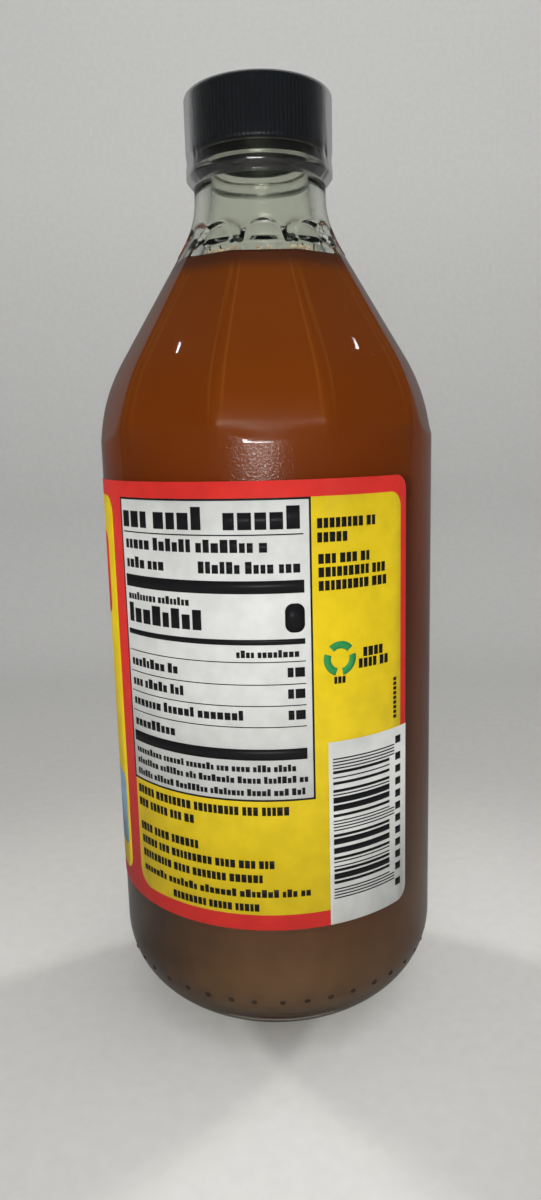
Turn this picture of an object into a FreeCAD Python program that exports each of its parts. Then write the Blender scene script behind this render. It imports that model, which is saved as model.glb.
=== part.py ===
"""A filled glass vinegar bottle: fluted glass, vinegar, wrap label, screw cap and clear shrink band.

Millimetres and degrees. The bottle stands on z = 0 with its axis on Z, and the label faces -Y.
Driving sizes are in the sheet "Sizes"; what follows from them is worked out in the sheet "Places".
"""

import FreeCAD, Part
import Sketcher
import math
import os

SIZES = (
    ("body_radius", 36.5, "outside of the straight glass body"),
    ("heel_radius", 17.45, "round from the bearing ring up to the body"),
    ("bearing_width", 3.5, "flat ring that the bottle stands on"),
    ("push_up", 3.5, "rise of the hollow under the base"),
    ("shoulder_start", 127.8, "height where the straight body ends"),
    ("shoulder_radius", 34.4, "round from the body into the cone"),
    ("cone_angle", 31.9, "cone's side, measured from the vertical"),
    ("neck_sweep", 17.3, "round from the cone into the neck"),
    ("neck_radius", 14.0, "outside of the straight neck"),
    ("neck_length", 2.9, "straight neck below the bead"),
    ("wall", 3.6, "thickness of the glass wall"),
    ("floor_edge", 6.0, "inside floor's height at its rim"),
    ("floor_rise", 2.5, "inside floor's rise towards the middle"),
    ("inner_heel", 13.5, "round from the inside floor up to the wall"),
    ("bead_height", 3.2, "ring under the cap"),
    ("bead_stand", 1.1, "how far the ring stands out of the neck"),
    ("finish_step", 0.7, "step in from the neck to the mouth's outside"),
    ("panel_count", 10, "flutes round the shoulder"),
    ("panel_turn", 2.0, "turn of the flutes about the axis"),
    ("panel_drop", 1.3, "panels start this far below the shoulder"),
    ("panel_run_out", 5.0, "height of the panels' lower run-out"),
    ("panel_sink", 1.25, "depth of a panel at its lower run-out"),
    ("panel_depth", 1.35, "depth of a panel at the foot of the cone"),
    ("panel_head_depth", 0.6, "depth of a panel under its arched head"),
    ("panel_head", 2.6, "height of the arched head"),
    ("panel_head_drop", 1.0, "arched heads start this far below the cone's head"),
    ("panel_low_round", 30.0, "hollow curve of the lower run-out"),
    ("panel_mid_round", 41.0, "curve from the run-out into the cone"),
    ("panel_top_round", 7.7, "hollow curve of the arched head"),
    ("head_space", 33.0, "from the mouth down to the vinegar's surface"),
    ("fill_gap", 0.05, "clearance between the vinegar and the glass"),
    ("cap_lift", 1.9, "gap between the bead and the cap's skirt"),
    ("cap_depth", 10.2, "skirt's height up to the bottle's mouth"),
    ("cap_gap", 0.15, "clearance round the bottle's mouth"),
    ("cap_wall", 1.95, "thickness of the cap's skirt"),
    ("cap_top", 1.85, "thickness of the cap's top"),
    ("cap_round", 1.0, "round of the cap's top edge"),
    ("band_gap", 0.05, "clearance under the shrink band"),
    ("band_film", 0.1, "thickness of the shrink band"),
    ("band_lip", 1.2, "width of the band turned over the cap's top"),
    ("band_bend", 1.0, "band turns in this far above the bead's foot"),
    ("band_tail", 0.8, "band ends this far below the bead"),
    ("label_foot_gap", 12.25, "bare glass between the heel and the label"),
    ("label_head_gap", 6.9, "bare glass between the label and the shoulder"),
    ("label_paper", 0.2, "thickness of the label with its glue"),
    ("label_gap", 0.02, "glue line under the label"),
    ("label_open", 46.0, "angle left bare between the label's ends"),
    ("label_start", 5.0, "angle of the label's first end"),
    ("label_corner", 3.0, "round of the label's corners"),
)


def glass_places(name, depth):
    """Radii and heights of the line that runs a given depth inside the bottle's outer line."""
    sweep = f"(Sizes.neck_sweep + {depth})"
    shoulder = f"(Sizes.shoulder_radius - {depth})"
    return (
        (f"{name}_body", f"Sizes.body_radius - {depth}"),
        (f"{name}_shoulder", shoulder),
        (f"{name}_sweep", sweep),
        (f"{name}_neck", f"Sizes.neck_radius - {depth}"),
        (f"{name}_cone_foot",
         f"Sizes.body_radius - Sizes.shoulder_radius + {shoulder} * cos(Sizes.cone_angle)"),
        (f"{name}_cone_foot_z", f"Sizes.shoulder_start + {shoulder} * sin(Sizes.cone_angle)"),
        (f"{name}_cone_head",
         f"Sizes.neck_radius + Sizes.neck_sweep - {sweep} * cos(Sizes.cone_angle)"),
        (f"{name}_cone_head_z", f"neck_foot - {sweep} * sin(Sizes.cone_angle)"),
    )


def floor_places(name, gap):
    """Places on the inside floor's line, a given gap above the glass."""
    return (
        (f"{name}_heel", f"Sizes.inner_heel - {gap}"),
        (f"{name}_heel_z", "Sizes.floor_edge + Sizes.inner_heel"),
        (f"{name}_floor_z", f"Sizes.floor_edge + {gap}"),
        (f"{name}_middle_z", f"Sizes.floor_edge + Sizes.floor_rise + {gap}"),
    )


PLACES = (
    ("neck_foot",
     "Sizes.shoulder_start + (Sizes.shoulder_radius + Sizes.neck_sweep) * sin(Sizes.cone_angle)"
     " + (Sizes.body_radius - Sizes.neck_radius - (Sizes.shoulder_radius + Sizes.neck_sweep)"
     " * (1 - cos(Sizes.cone_angle))) / tan(Sizes.cone_angle)"),
    *glass_places("outer", "0"),
    *glass_places("inner", "Sizes.wall"),
    *glass_places("fill", "(Sizes.wall + Sizes.fill_gap)"),
    ("bearing_outer", "Sizes.body_radius - Sizes.heel_radius"),
    ("bearing_inner", "bearing_outer - Sizes.bearing_width"),
    ("push_up_radius", "(bearing_inner ^ 2 + Sizes.push_up ^ 2) / (2 * Sizes.push_up)"),
    ("floor_radius", "Sizes.body_radius - Sizes.wall - Sizes.inner_heel"),
    ("floor_dome", "(floor_radius ^ 2 + Sizes.floor_rise ^ 2) / (2 * Sizes.floor_rise)"),
    *floor_places("inner", "0"),
    *floor_places("fill", "Sizes.fill_gap"),
    ("bead_foot", "neck_foot + Sizes.neck_length"),
    ("bead_head", "bead_foot + Sizes.bead_height"),
    ("bead_section",
     "(Sizes.bead_height ^ 2 / 4 + Sizes.bead_stand ^ 2) / (2 * Sizes.bead_stand)"),
    ("finish_radius", "Sizes.neck_radius - Sizes.finish_step"),
    ("cap_foot", "bead_head + Sizes.cap_lift"),
    ("mouth", "cap_foot + Sizes.cap_depth"),
    ("fill_level", "mouth - Sizes.head_space"),
    ("cap_bore", "finish_radius + Sizes.cap_gap"),
    ("cap_radius", "cap_bore + Sizes.cap_wall"),
    ("cap_head", "mouth + Sizes.cap_top"),
    ("cap_edge_z", "cap_head - Sizes.cap_round"),
    ("cap_edge", "cap_radius - Sizes.cap_round"),
    ("panel_foot", "Sizes.shoulder_start - Sizes.panel_drop"),
    ("panel_low", "Sizes.body_radius - Sizes.panel_sink"),
    ("panel_low_z", "panel_foot + Sizes.panel_run_out"),
    ("panel_mid", "outer_cone_foot - Sizes.panel_depth"),
    ("panel_high_z", "outer_cone_head_z - Sizes.panel_head_drop"),
    ("panel_high",
     "outer_cone_head + Sizes.panel_head_drop * tan(Sizes.cone_angle) - Sizes.panel_head_depth"),
    ("panel_top_z", "panel_high_z + Sizes.panel_head"),
    ("panel_top", "Sizes.neck_radius + Sizes.neck_sweep"
     " - sqrt(Sizes.neck_sweep ^ 2 - (neck_foot - panel_top_z) ^ 2)"),
    ("panel_rim", "Sizes.body_radius + Sizes.wall"),
    ("panel_width", "2 * Sizes.body_radius * tan(180 / Sizes.panel_count)"),
    ("band_inner", "cap_radius + Sizes.band_gap"),
    ("band_outer", "band_inner + Sizes.band_film"),
    ("band_foot", "Sizes.neck_radius + Sizes.band_gap"),
    ("band_foot_outer", "band_foot + Sizes.band_film"),
    ("band_foot_z", "bead_foot - Sizes.band_tail"),
    ("band_bend_z", "bead_foot + Sizes.band_bend"),
    ("band_round", "Sizes.cap_round + Sizes.band_gap"),
    ("band_round_outer", "band_round + Sizes.band_film"),
    ("band_lip_edge", "cap_edge - Sizes.band_lip"),
    ("band_lip_z", "cap_head + Sizes.band_gap"),
    ("band_lip_top", "band_lip_z + Sizes.band_film"),
    ("label_inner", "Sizes.body_radius + Sizes.label_gap"),
    ("label_outer", "label_inner + Sizes.label_paper"),
    ("label_foot", "Sizes.heel_radius + Sizes.label_foot_gap"),
    ("label_head", "Sizes.shoulder_start - Sizes.label_head_gap"),
    ("label_sweep", "360 - Sizes.label_open"),
)

AXIS = ""  # a radius on the bottle's axis, or a height on the ground

# Each line below is a closed outline of (radius, height) points. An edge runs to a point from the one
# before it: a straight one, or an arc whose centre lies left or right of the way and whose radius is named.

OUTER_LINE = (
    (AXIS, "Sizes.push_up"),
    ("arc right push_up_radius", "bearing_inner", AXIS),
    ("bearing_outer", AXIS),
    ("arc left Sizes.heel_radius", "outer_body", "Sizes.heel_radius"),
    ("outer_body", "Sizes.shoulder_start"),
    ("arc left outer_shoulder", "outer_cone_foot", "outer_cone_foot_z"),
    ("outer_cone_head", "outer_cone_head_z"),
    ("arc right outer_sweep", "outer_neck", "neck_foot"),
    ("outer_neck", "bead_foot"),
    ("arc left bead_section", "outer_neck", "bead_head"),
    ("finish_radius", "bead_head"),
    ("finish_radius", "mouth"),
    (AXIS, "mouth"),
)


def inside_line(name):
    """The bottle's inside, or the vinegar's outside, up to the mouth."""
    return (
        (AXIS, f"{name}_middle_z"),
        ("arc right floor_dome", "floor_radius", f"{name}_floor_z"),
        (f"arc left {name}_heel", f"{name}_body", f"{name}_heel_z"),
        (f"{name}_body", "Sizes.shoulder_start"),
        (f"arc left {name}_shoulder", f"{name}_cone_foot", f"{name}_cone_foot_z"),
        (f"{name}_cone_head", f"{name}_cone_head_z"),
        (f"arc right {name}_sweep", f"{name}_neck", "neck_foot"),
        (f"{name}_neck", "mouth"),
        (AXIS, "mouth"),
    )


PANEL_LINE = (
    ("arc left Sizes.panel_low_round", "outer_body", "panel_foot"),
    ("panel_rim", "panel_foot"),
    ("panel_rim", "panel_top_z"),
    ("panel_top", "panel_top_z"),
    ("arc left Sizes.panel_top_round", "panel_high", "panel_high_z"),
    ("panel_mid", "outer_cone_foot_z"),
    ("arc right Sizes.panel_mid_round", "panel_low", "panel_low_z"),
)

AIR_LINE = (
    (AXIS, "fill_level"),
    ("outer_body", "fill_level"),
    ("outer_body", "cap_head"),
    (AXIS, "cap_head"),
)

CAP_LINE = (
    ("cap_bore", "cap_foot"),
    ("cap_radius", "cap_foot"),
    ("cap_radius", "cap_edge_z"),
    ("arc left Sizes.cap_round", "cap_edge", "cap_head"),
    (AXIS, "cap_head"),
    (AXIS, "mouth"),
    ("cap_bore", "mouth"),
)

BAND_LINE = (
    ("band_foot", "band_foot_z"),
    ("band_foot_outer", "band_foot_z"),
    ("band_outer", "band_bend_z"),
    ("band_outer", "cap_edge_z"),
    ("arc left band_round_outer", "cap_edge", "band_lip_top"),
    ("band_lip_edge", "band_lip_top"),
    ("band_lip_edge", "band_lip_z"),
    ("cap_edge", "band_lip_z"),
    ("arc right band_round", "band_inner", "cap_edge_z"),
    ("band_inner", "band_bend_z"),
)

LABEL_LINE = (
    ("label_inner", "label_foot"),
    ("label_outer", "label_foot"),
    ("label_outer", "label_head"),
    ("label_inner", "label_head"),
)

doc = FreeCAD.newDocument("vinegar_bottle")
sizes = doc.addObject("Spreadsheet::Sheet", "Sizes")
for row, (alias, number, meaning) in enumerate(SIZES, start=1):
    sizes.set(f"A{row}", meaning)
    sizes.set(f"B{row}", str(number))
    sizes.setAlias(f"B{row}", alias)
places = doc.addObject("Spreadsheet::Sheet", "Places")
doc.recompute()
for row, (alias, formula) in enumerate(PLACES, start=1):
    places.set(f"A{row}", alias)
    places.set(f"B{row}", "=" + formula)
    places.setAlias(f"B{row}", alias)
    places.recompute()
doc.recompute()


def linked(name):
    """The full name of a value in either sheet."""
    return name if name.startswith("Sizes.") else f"Places.{name}"


def number(name):
    """The number that a name stands for. The axis, or the ground, is 0."""
    if name == AXIS:
        return 0.0
    sheet, alias = linked(name).split(".")
    return float(getattr(doc.getObject(sheet), alias))


def new_body(name):
    body = doc.addObject("PartDesign::Body", name)
    body.Label = name
    return body


def origin(body, role):
    return next(item for item in body.Origin.OriginFeatures if item.Role == role)


def arc_between(start, end, radius, side):
    """The arc from start to end whose centre lies on the given side of that way."""
    chord = end - start
    turn = 1 if side == "left" else -1
    across = FreeCAD.Vector(-chord.y, chord.x, 0).normalize() * turn
    centre = (start + end) / 2 + across * math.sqrt(max(radius**2 - chord.Length**2 / 4, 0))
    first, last = (start, end) if side == "left" else (end, start)
    angles = [math.atan2(point.y - centre.y, point.x - centre.x) for point in (first, last)]
    circle = Part.Circle(centre, FreeCAD.Vector(0, 0, 1), radius)
    return Part.ArcOfCircle(circle, *angles)


def draw(body, name, plane, line):
    """A closed sketch through the line's points, each held by the values that it names."""
    sketch = body.newObject("Sketcher::SketchObject", name)
    sketch.AttachmentSupport = [(origin(body, plane), "")]
    sketch.MapMode = "FlatFace"
    points = [FreeCAD.Vector(number(entry[-2]), number(entry[-1]), 0) for entry in line]
    ends = []
    for index, entry in enumerate(line):
        start = points[index - 1]
        end = points[index]
        if len(entry) == 3:
            _, side, radius = entry[0].split(" ")
            edge = sketch.addGeometry(arc_between(start, end, number(radius), side), False)
            hold = sketch.addConstraint(Sketcher.Constraint("Radius", edge, number(radius)))
            sketch.setExpression(f"Constraints[{hold}]", linked(radius))
            ends.append((edge, 1, 2) if side == "left" else (edge, 2, 1))
        else:
            edge = sketch.addGeometry(Part.LineSegment(start, end), False)
            ends.append((edge, 1, 2))
    for index, entry in enumerate(line):
        edge, _, tip = ends[index]
        follower, foot, _ = ends[(index + 1) % len(line)]
        sketch.addConstraint(Sketcher.Constraint("Coincident", edge, tip, follower, foot))
        for kind, axis, value in (("DistanceX", -2, entry[-2]), ("DistanceY", -1, entry[-1])):
            if value == AXIS:
                sketch.addConstraint(Sketcher.Constraint("PointOnObject", edge, tip, axis))
            else:
                hold = sketch.addConstraint(
                    Sketcher.Constraint(kind, -1, 1, edge, tip, number(value)))
                sketch.setExpression(f"Constraints[{hold}]", linked(value))
    return sketch


def turn_on_axis(body, kind, name, sketch):
    """A solid, or a hollow, turned from a sketch about the bottle's axis."""
    feature = body.newObject(kind, name)
    feature.Profile = sketch
    feature.ReferenceAxis = (sketch, ["V_Axis"])
    return feature


def make_glass():
    body = new_body("glass_bottle")
    turn_on_axis(body, "PartDesign::Revolution", "glass",
                 draw(body, "glass_line", "XZ_Plane", OUTER_LINE))
    turn_on_axis(body, "PartDesign::Groove", "hollow",
                 draw(body, "hollow_line", "XZ_Plane", inside_line("inner")))
    panel_line = draw(body, "panel_line", "YZ_Plane", PANEL_LINE)
    panel_line.setExpression("AttachmentOffset.Rotation.Axis.x", "0")
    panel_line.setExpression("AttachmentOffset.Rotation.Axis.y", "1")
    panel_line.setExpression("AttachmentOffset.Rotation.Axis.z", "0")
    panel_line.setExpression("AttachmentOffset.Rotation.Angle", "Sizes.panel_turn")
    panel = body.newObject("PartDesign::Pocket", "panel")
    panel.Profile = panel_line
    panel.Midplane = True
    panel.setExpression("Length", "Places.panel_width")
    doc.recompute()
    panels = body.newObject("PartDesign::PolarPattern", "panels")
    panels.Originals = [panel]
    panels.Axis = (origin(body, "Z_Axis"), [""])
    panels.Angle = 360
    panels.setExpression("Occurrences", "Sizes.panel_count")
    body.Tip = panels
    return body


def make_vinegar():
    body = new_body("vinegar")
    turn_on_axis(body, "PartDesign::Revolution", "brim_full",
                 draw(body, "fill_line", "XZ_Plane", inside_line("fill")))
    turn_on_axis(body, "PartDesign::Groove", "air",
                 draw(body, "air_line", "XZ_Plane", AIR_LINE))
    return body


def make_turned(name, line):
    body = new_body(name)
    turn_on_axis(body, "PartDesign::Revolution", f"{name}_turned",
                 draw(body, f"{name}_line", "XZ_Plane", line))
    return body


def make_label():
    body = new_body("label")
    wrap = turn_on_axis(body, "PartDesign::Revolution", "wrap",
                        draw(body, "wrap_line", "XZ_Plane", LABEL_LINE))
    wrap.setExpression("Angle", "Places.label_sweep")
    doc.recompute()
    thickness = number("Sizes.label_paper")
    corners = [f"Edge{index}" for index, edge in enumerate(wrap.Shape.Edges, start=1)
               if abs(edge.Length - thickness) < thickness / 10]
    rounded = body.newObject("PartDesign::Fillet", "label_corners")
    rounded.Base = (wrap, corners)
    rounded.setExpression("Radius", "Sizes.label_corner")
    body.setExpression("Placement.Rotation.Angle", "Sizes.label_start")
    return body


nodes = (
    make_glass(),
    make_vinegar(),
    make_turned("cap", CAP_LINE),
    make_turned("shrink_band", BAND_LINE),
    make_label(),
)
doc.recompute()

failed = [item.Label for item in doc.Objects if {"Invalid", "Error"} & set(item.State)]
failed += [node.Label for node in nodes
           if node.Shape.isNull() or not node.Shape.isValid() or len(node.Shape.Solids) != 1]
if failed:
    raise RuntimeError("not built: " + ", ".join(failed))

os.makedirs("parts", exist_ok=True)
for node in nodes:
    node.Shape.exportStep(f"parts/{node.Label}.step")
    print(f"{node.Label}: {node.Shape.Volume / 1000:.2f} cm3")
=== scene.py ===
"""Looks of a filled glass vinegar bottle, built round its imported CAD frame.

Lengths are in millimetres, and MM turns them into metres. Only the studio's places and sizes and
the bumps' distances are written in metres. Angles round the bottle are in degrees from the front
(-Y), positive towards +X, unless a docstring says radians.
"""

import math
import random

import bpy
import numpy as np
from mathutils import Matrix, Vector


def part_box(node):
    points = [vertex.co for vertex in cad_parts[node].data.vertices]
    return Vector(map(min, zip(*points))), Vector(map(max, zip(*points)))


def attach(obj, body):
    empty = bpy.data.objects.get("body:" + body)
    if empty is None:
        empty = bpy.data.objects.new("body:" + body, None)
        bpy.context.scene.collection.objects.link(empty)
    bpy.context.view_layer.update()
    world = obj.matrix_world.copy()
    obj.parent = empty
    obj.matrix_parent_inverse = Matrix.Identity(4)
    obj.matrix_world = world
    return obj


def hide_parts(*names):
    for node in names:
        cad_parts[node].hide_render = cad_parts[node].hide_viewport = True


MM = 0.001
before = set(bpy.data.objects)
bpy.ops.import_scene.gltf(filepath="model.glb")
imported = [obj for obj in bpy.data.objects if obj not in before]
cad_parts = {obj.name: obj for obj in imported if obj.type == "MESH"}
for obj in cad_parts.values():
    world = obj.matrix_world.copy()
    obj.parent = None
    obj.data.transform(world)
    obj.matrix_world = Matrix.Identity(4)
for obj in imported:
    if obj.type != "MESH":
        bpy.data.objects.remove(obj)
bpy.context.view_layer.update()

# ---------------------------------------------------------------- sizes taken from the frame
_, glass_high = (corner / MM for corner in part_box("glass_bottle"))
_, fill_high = (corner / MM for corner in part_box("vinegar"))
cap_low, cap_high = (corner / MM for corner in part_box("cap"))
_, band_high = (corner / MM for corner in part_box("shrink_band"))
label_low, label_high = (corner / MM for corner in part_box("label"))

BODY = glass_high.x
MOUTH = glass_high.z
LEVEL = fill_high.z
CAP = cap_high.x
CAP_FOOT = cap_low.z
CAP_HEAD = cap_high.z
BAND = band_high.x
LABEL_FOOT = label_low.z
LABEL_HEAD = label_high.z
LABEL = abs(label_low.y) - 0.08  # the paper; the inks on it reach the CAD label's face

# ---------------------------------------------------------------- the glass's shape
WALL = 3.6
HEEL = 17.45  # round from the base up to the body
BEARING = 3.5  # width of the ring that the bottle stands on
PUSH_UP = 3.5  # depth of the hollow under the base
SHOULDER_START = 127.8
SHOULDER = 34.4  # round from the body into the cone
CONE = math.radians(31.9)  # lean of the cone off the upright
SWEEP = 17.3  # hollow round from the cone into the neck
NECK = 14.0
NECK_LENGTH = 2.9
BEAD_HEIGHT = 3.2
BEAD_STAND = 1.1
FINISH = NECK - 0.7  # radius of the glass inside the cap
LIP = 0.8  # round of the glass at the mouth
FLOOR = 6.6  # the floor and the inner heel are fuller than in the CAD, as the clear edge shows them
FLOOR_RISE = 2.5
INNER_HEEL = 15.5

# ---------------------------------------------------------------- its flutes, dots and mesh
PANELS = 10
PANEL_TURN = 2.0  # degrees from the front to the middle of the nearest flute
FOOT_DEPTH = 1.2  # of a flute just above the shoulder's start
CONE_DEPTH = 1.35  # of a flute where the cone begins
HEAD_DEPTH = 0.8  # of a flute at its arched head
ARCH = 4.9  # radius of a flute's arched head
RIDGE_SOFTNESS = 0.05
FLATNESS = 0.8  # of a flute across its width: 1 is flat, 0 as round as the body
FLUTE_STEPS = 14  # columns of the mesh in half a flute
DOTS, DOT_HEIGHT = 42, 12.6
EMBED = 0.12  # how far the vinegar reaches into the glass, so that no air gap shows

NECK_FOOT = (SHOULDER_START + (SHOULDER + SWEEP) * math.sin(CONE)
             + (BODY - NECK - (SHOULDER + SWEEP) * (1 - math.cos(CONE))) / math.tan(CONE))
CONE_HEAD = NECK_FOOT - SWEEP * math.sin(CONE)
ARCH_FOOT = CONE_HEAD - 2.6  # where a flute's arched head begins
BEAD_FOOT = NECK_FOOT + NECK_LENGTH
BEAD_HEAD = BEAD_FOOT + BEAD_HEIGHT

random.seed(7)


def arc(centre, radius, first, last, steps):
    """Points on an arc from one angle to another, in radians from the radial axis."""
    angles = np.linspace(first, last, steps)
    return [(centre[0] + radius * math.cos(a), centre[1] + radius * math.sin(a)) for a in angles]


def line(start, end, steps):
    """Points along a straight run, without its end."""
    return [tuple(np.add(start, np.subtract(end, start) * step / steps)) for step in range(steps)]


def dome(radius, low, rise, steps):
    """A shallow dome's line from its rim to the axis."""
    sphere = (radius**2 + rise**2) / (2 * rise)
    spread = math.asin(radius / sphere)
    turns = np.linspace(spread, 0, steps)
    return [(sphere * math.sin(t), low + rise - sphere * (1 - math.cos(t))) for t in turns]


def shoulder_line(depth, steps):
    """From the straight body over the shoulder and cone to the neck's foot, at a depth in the glass."""
    turn = arc((BODY - SHOULDER, SHOULDER_START), SHOULDER - depth, 0, CONE, steps)
    sweep = arc((NECK + SWEEP, NECK_FOOT), SWEEP + depth, math.pi + CONE, math.pi, steps)
    return turn[:-1] + line(turn[-1], sweep[0], 2 * steps) + sweep


def outer_line():
    """The outside of the glass from the middle of the base up to the lip."""
    bearing = BODY - HEEL
    push_up = dome(bearing - BEARING, 0, PUSH_UP, 14)[::-1]
    heel = arc((bearing, HEEL), HEEL, -math.pi / 2, 0, 30)
    section = (BEAD_HEIGHT**2 / 4 + BEAD_STAND**2) / (2 * BEAD_STAND)
    spread = math.asin(BEAD_HEIGHT / 2 / section)
    bead = arc((NECK + BEAD_STAND - section, BEAD_FOOT + BEAD_HEIGHT / 2), section, -spread, spread, 15)
    return (push_up + heel[:-1] + line(heel[-1], (BODY, SHOULDER_START - 2), 24)
            + line((BODY, SHOULDER_START - 2), (BODY, SHOULDER_START), 5) + shoulder_line(0, 30)[:-1]
            + line((NECK, NECK_FOOT), bead[0], 4) + bead + [(FINISH, BEAD_HEAD)]
            + line((FINISH, BEAD_HEAD + 0.2), (FINISH, MOUTH - LIP), 4)
            + arc((FINISH - LIP, MOUTH - LIP), LIP, 0, math.pi / 2, 6))


def inner_line(depth, lift):
    """The inside of the glass from the neck's foot down to the middle of the floor."""
    body = BODY - depth
    heel = arc((body - INNER_HEEL + lift, FLOOR + INNER_HEEL), INNER_HEEL - lift, 0, -math.pi / 2, 20)
    floor = dome(BODY - WALL - INNER_HEEL, FLOOR + lift, FLOOR_RISE, 12)
    return (shoulder_line(depth, 16)[::-1] + line((body, SHOULDER_START - 2), heel[0], 10)
            + heel + floor[1:])


def bow(start, end, rise, steps=12):
    """A shallow curve in (height, radius), standing out by rise at its middle, without its end."""
    shares = np.arange(steps) / steps
    heights = start[0] + (end[0] - start[0]) * shares
    radii = start[1] + (end[1] - start[1]) * shares + 4 * rise * shares * (1 - shares)
    return list(zip(heights, radii))


def panel_line():
    """A flute's depth line: (height, distance from the axis) up the middle of the flute."""
    foot = (SHOULDER_START + 0.8, BODY)
    dip = (foot[0] + 1.6, BODY - 0.85)
    low = (SHOULDER_START + 3.9, BODY - FOOT_DEPTH)
    cone_foot = (SHOULDER_START + SHOULDER * math.sin(CONE),
                 BODY - SHOULDER + SHOULDER * math.cos(CONE) - CONE_DEPTH)
    neck_side = NECK + SWEEP - SWEEP * math.cos(CONE)
    high = (ARCH_FOOT, neck_side + (CONE_HEAD - ARCH_FOOT) * math.tan(CONE) - HEAD_DEPTH)
    return np.array(bow(foot, dip, -0.08) + bow(dip, low, 0.02) + bow(low, cone_foot, 0.7) + [high])


PANEL = panel_line()


def off_panel(angles):
    """Degrees from the middle of the nearest flute, for angles in radians off the front."""
    pitch = 360 / PANELS
    return (np.degrees(angles) - PANEL_TURN + pitch / 2) % pitch - pitch / 2


def fluted(angles, radius, height):
    """The radius of the glass once the flutes are pressed into the shoulder."""
    if not PANEL[0, 0] < height < ARCH_FOOT + ARCH:
        return radius
    off = np.radians(off_panel(angles))
    deep, fade = np.interp(height, PANEL[:, 0], PANEL[:, 1]), 1.0
    if height > ARCH_FOOT:
        deep = radius - HEAD_DEPTH
        fade = np.clip(ARCH - np.hypot(radius * np.sin(off), height - ARCH_FOOT), 0, 1)
        fade = fade * fade * (3 - 2 * fade)
    gap = (radius - deep / np.cos(off) ** FLATNESS) / RIDGE_SOFTNESS
    cut = np.logaddexp(0, gap) - math.log(2) * np.exp(-np.abs(gap))
    return radius - RIDGE_SOFTNESS * cut * fade


def flute_angles():
    """Angles round the glass, in radians, closer together where the ridges are."""
    pitch = math.radians(360 / PANELS)
    steps = np.arange(-FLUTE_STEPS, FLUTE_STEPS) / FLUTE_STEPS
    spread = pitch / 2 * (0.4 * steps + 0.6 * np.sin(steps * math.pi / 2))
    middles = math.radians(PANEL_TURN) + pitch * np.arange(PANELS)
    return (middles[:, None] + spread[None, :]).ravel()


# ---------------------------------------------------------------- mesh helpers
def new_piece(name, vertices, faces):
    mesh = bpy.data.meshes.new(name)
    mesh.from_pydata([tuple(v) for v in vertices], [], faces)
    mesh.validate()
    mesh.shade_smooth()
    piece = bpy.data.objects.new(name, mesh)
    bpy.context.scene.collection.objects.link(piece)
    return piece


def around(angle, radius, height):
    """A point on the bottle, in metres, from an angle in radians off the front."""
    return (radius * math.sin(angle) * MM, -radius * math.cos(angle) * MM, height * MM)


def even(segments):
    """Evenly spaced angles round the axis."""
    return np.arange(segments) * 2 * math.pi / segments


def revolve(name, outline, angles, shape=None, loop=False):
    """Turns an outline of (radius, height) points about the axis. shape bends each ring's radius."""
    segments = len(angles)
    vertices, rings = [], []
    for radius, height in outline:
        if radius < 1e-6:
            rings.append([len(vertices)] * segments)
            vertices.append((0, 0, height * MM))
            continue
        radii = np.broadcast_to(shape(angles, radius, height) if shape else radius, angles.shape)
        rings.append(list(range(len(vertices), len(vertices) + segments)))
        vertices += [around(a, r, height) for a, r in zip(angles, radii)]
    faces = []
    pairs = list(zip(rings, rings[1:])) + ([(rings[-1], rings[0])] if loop else [])
    for low, high in pairs:
        for k in range(segments):
            n = (k + 1) % segments
            faces.append(tuple(dict.fromkeys((low[k], low[n], high[n], high[k]))))
    return new_piece(name, vertices, faces)


def strip(vertices):
    """The faces of a strip whose vertices run in pairs, low and high."""
    return [(index, index + 2, index + 3, index + 1) for index in range(0, len(vertices) - 2, 2)]


def join_meshes(name, parts):
    """One piece from several (vertices, faces) pairs."""
    vertices, faces = [], []
    for part_vertices, part_faces in parts:
        base = len(vertices)
        vertices += part_vertices
        faces += [tuple(base + index for index in face) for face in part_faces]
    return new_piece(name, vertices, faces)


def ball(centre, radius, squash=(1, 1, 1), turn=0.0, rings=6, sides=10):
    """A small ball's (vertices, faces); squash is its radial, sideways and upright share."""
    vertices, faces = [], []
    for ring in range(rings + 1):
        tilt = math.pi * ring / rings
        for side in range(sides):
            spin = 2 * math.pi * side / sides
            out = math.sin(tilt) * math.cos(spin) * squash[0] * radius
            across = math.sin(tilt) * math.sin(spin) * squash[1] * radius
            up = math.cos(tilt) * squash[2] * radius
            vertices.append(((centre[0] + out * math.sin(turn) + across * math.cos(turn)) * MM,
                             (centre[1] - out * math.cos(turn) + across * math.sin(turn)) * MM,
                             (centre[2] + up) * MM))
    for ring in range(rings):
        for side in range(sides):
            a = ring * sides + side
            b = ring * sides + (side + 1) % sides
            faces.append((a, b, b + sides, a + sides))
    return vertices, faces


# ---------------------------------------------------------------- materials
def node_material(name):
    material = bpy.data.materials.new(name)
    material.use_nodes = True
    nodes = material.node_tree.nodes
    return material, nodes, material.node_tree.links, nodes["Principled BSDF"]


def set_sockets(shader, values):
    for socket, value in values.items():
        shader.inputs[socket].default_value = value


def position_in_mm(nodes, links):
    """Object coordinates in millimetres."""
    place = nodes.new("ShaderNodeTexCoord")
    scale = nodes.new("ShaderNodeVectorMath")
    scale.operation = "SCALE"
    scale.inputs["Scale"].default_value = 1 / MM
    links.new(place.outputs["Object"], scale.inputs[0])
    return scale.outputs["Vector"]


def height_of(nodes, links, position):
    """The upright part of a position."""
    parts = nodes.new("ShaderNodeSeparateXYZ")
    links.new(position, parts.inputs["Vector"])
    return parts.outputs["Z"]


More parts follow.
